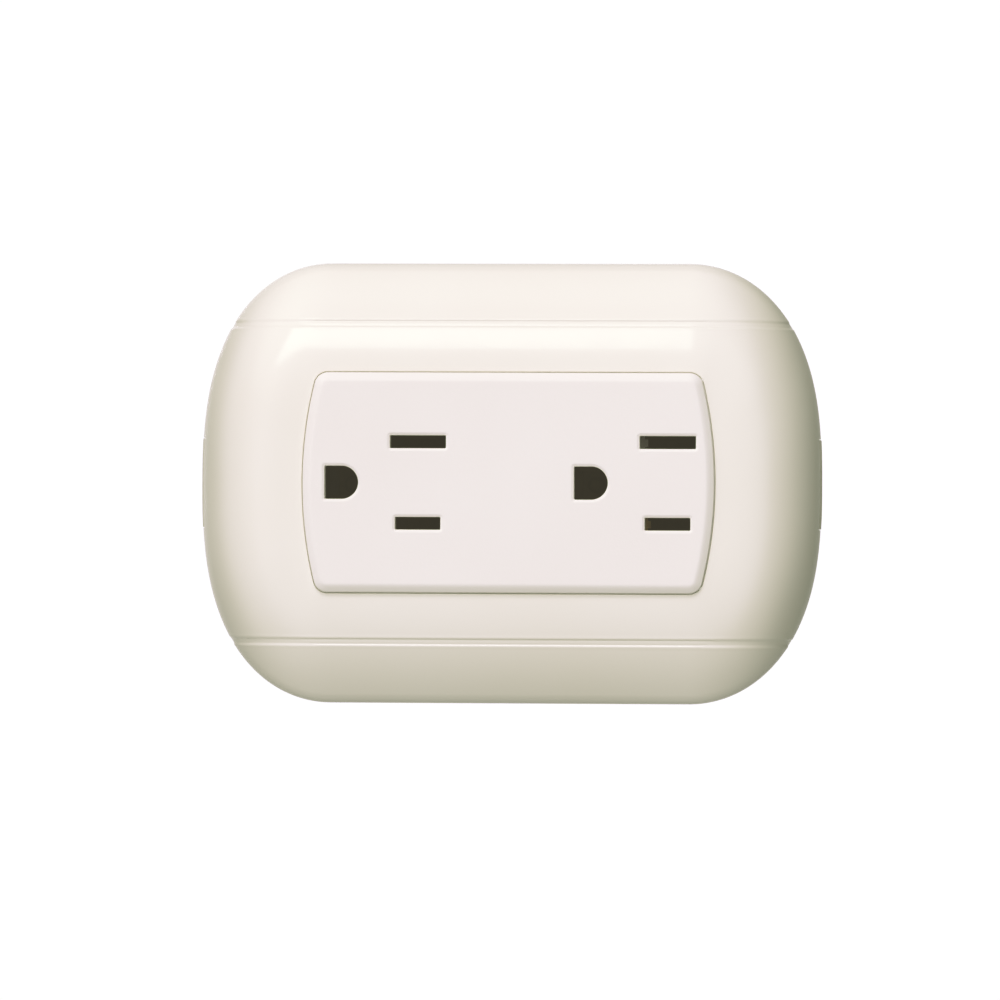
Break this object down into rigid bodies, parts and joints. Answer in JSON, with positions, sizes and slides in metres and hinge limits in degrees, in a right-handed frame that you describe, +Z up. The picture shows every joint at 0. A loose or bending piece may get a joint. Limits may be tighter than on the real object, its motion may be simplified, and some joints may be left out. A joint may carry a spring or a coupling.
{
  "type": "duplex wall outlet",
  "caption": "Horizontal duplex grounded wall outlet with a domed clip-on cover plate, rear housing, spring contacts, bus bars and rear terminals.",
  "frame": {"origin": "middle of the outlet on the wall plane, where the cover plate's rim meets the wall", "axes": "+X to the right and +Z up as seen from the room; the front faces -Y and +Y runs into the wall box"},
  "size_m": [0.098, 0.0343, 0.069],
  "materials": {
    "gloss_ivory": "glossy moulded ivory thermoplastic",
    "satin_ivory": "finely textured satin ivory",
    "frame_plastic": "satin, reinforced plastic",
    "housing_plastic": "satin black thermoset",
    "brass": "bright stamped",
    "spring_brass": "spring temper, drawn",
    "nickel_plate": "nickel-plated brass",
    "zinc_steel": "bright zinc plate",
    "green_screw": "green dyed zinc plate",
    "fibre": "vulcanised fibre"
  },
  "bodies": {
    "outlet": {"receptacle_face": "satin_ivory", "support_frame": "frame_plastic", "receptacle_base": "housing_plastic", "neutral_bus_bar": "nickel_plate", "line_bus_bar": "brass", "ground_strap": "brass", "neutral_contact_left": "spring_brass", "line_contact_left": "spring_brass", "ground_contact_left": "spring_brass", "neutral_rivet_left": "brass", "line_rivet_left": "brass", "ground_rivet_left": "brass", "neutral_contact_right": "spring_brass", "line_contact_right": "spring_brass", "ground_contact_right": "spring_brass", "neutral_rivet_right": "brass", "line_rivet_right": "brass", "ground_rivet_right": "brass", "housing_screw_upper_left": "zinc_steel", "housing_screw_upper_right": "zinc_steel", "housing_screw_lower_left": "zinc_steel", "housing_screw_lower_right": "zinc_steel"},
    "cover": {"cover_plate": "gloss_ivory"},
    "washer_left": {"mounting_washer_left": "fibre"},
    "screw_left": {"mounting_screw_left": "zinc_steel"},
    "washer_right": {"mounting_washer_right": "fibre"},
    "screw_right": {"mounting_screw_right": "zinc_steel"},
    "neutral_clamp": {"neutral_clamp_plate": "zinc_steel"},
    "neutral_screw": {"neutral_terminal_screw": "zinc_steel"},
    "ground_clamp": {"ground_clamp_plate": "zinc_steel"},
    "ground_screw": {"ground_terminal_screw": "green_screw"},
    "line_clamp": {"line_clamp_plate": "zinc_steel"},
    "line_screw": {"line_terminal_screw": "brass"}
  },
  "joints": [
    {"name": "cover_plate_slide", "type": "slide", "parent": "outlet", "child": "cover", "axis": [0, -1, 0], "range_m": [0, 0.025]},
    {"name": "mounting_screw_left_travel", "type": "slide", "parent": "outlet", "child": "washer_left", "axis": [0, -1, 0], "range_m": [0, 0.000794]},
    {"name": "mounting_screw_left_turn", "type": "hinge", "parent": "washer_left", "child": "screw_left", "pos_m": [-0.04175, -0.003, 0], "axis": [0, -1, 0], "range_deg": [0, 362]},
    {"name": "mounting_screw_right_travel", "type": "slide", "parent": "outlet", "child": "washer_right", "axis": [0, -1, 0], "range_m": [0, 0.000794]},
    {"name": "mounting_screw_right_turn", "type": "hinge", "parent": "washer_right", "child": "screw_right", "pos_m": [0.04175, -0.003, 0], "axis": [0, -1, 0], "range_deg": [0, 362]},
    {"name": "neutral_clamp_travel", "type": "slide", "parent": "outlet", "child": "neutral_clamp", "axis": [0, 1, 0], "range_m": [0, 0.003]},
    {"name": "neutral_screw_turn", "type": "hinge", "parent": "neutral_clamp", "child": "neutral_screw", "pos_m": [0, 0.0155, 0.0105], "axis": [0, 1, 0], "range_deg": [0, 1802]},
    {"name": "ground_clamp_travel", "type": "slide", "parent": "outlet", "child": "ground_clamp", "axis": [0, 1, 0], "range_m": [0, 0.003]},
    {"name": "ground_screw_turn", "type": "hinge", "parent": "ground_clamp", "child": "ground_screw", "pos_m": [0, 0.0155, 0], "axis": [0, 1, 0], "range_deg": [0, 1802]},
    {"name": "line_clamp_travel", "type": "slide", "parent": "outlet", "child": "line_clamp", "axis": [0, 1, 0], "range_m": [0, 0.003]},
    {"name": "line_screw_turn", "type": "hinge", "parent": "line_clamp", "child": "line_screw", "pos_m": [0, 0.0155, -0.0105], "axis": [0, 1, 0], "range_deg": [0, 1802]}
  ],
  "couplings": [
    {"joint": "mounting_screw_left_turn", "follows": "mounting_screw_left_travel", "rad_per_m": 7913.3},
    {"joint": "mounting_screw_right_turn", "follows": "mounting_screw_right_travel", "rad_per_m": 7913.3},
    {"joint": "neutral_screw_turn", "follows": "neutral_clamp_travel", "rad_per_m": 10472},
    {"joint": "ground_screw_turn", "follows": "ground_clamp_travel", "rad_per_m": 10472},
    {"joint": "line_screw_turn", "follows": "line_clamp_travel", "rad_per_m": 10472}
  ]
}
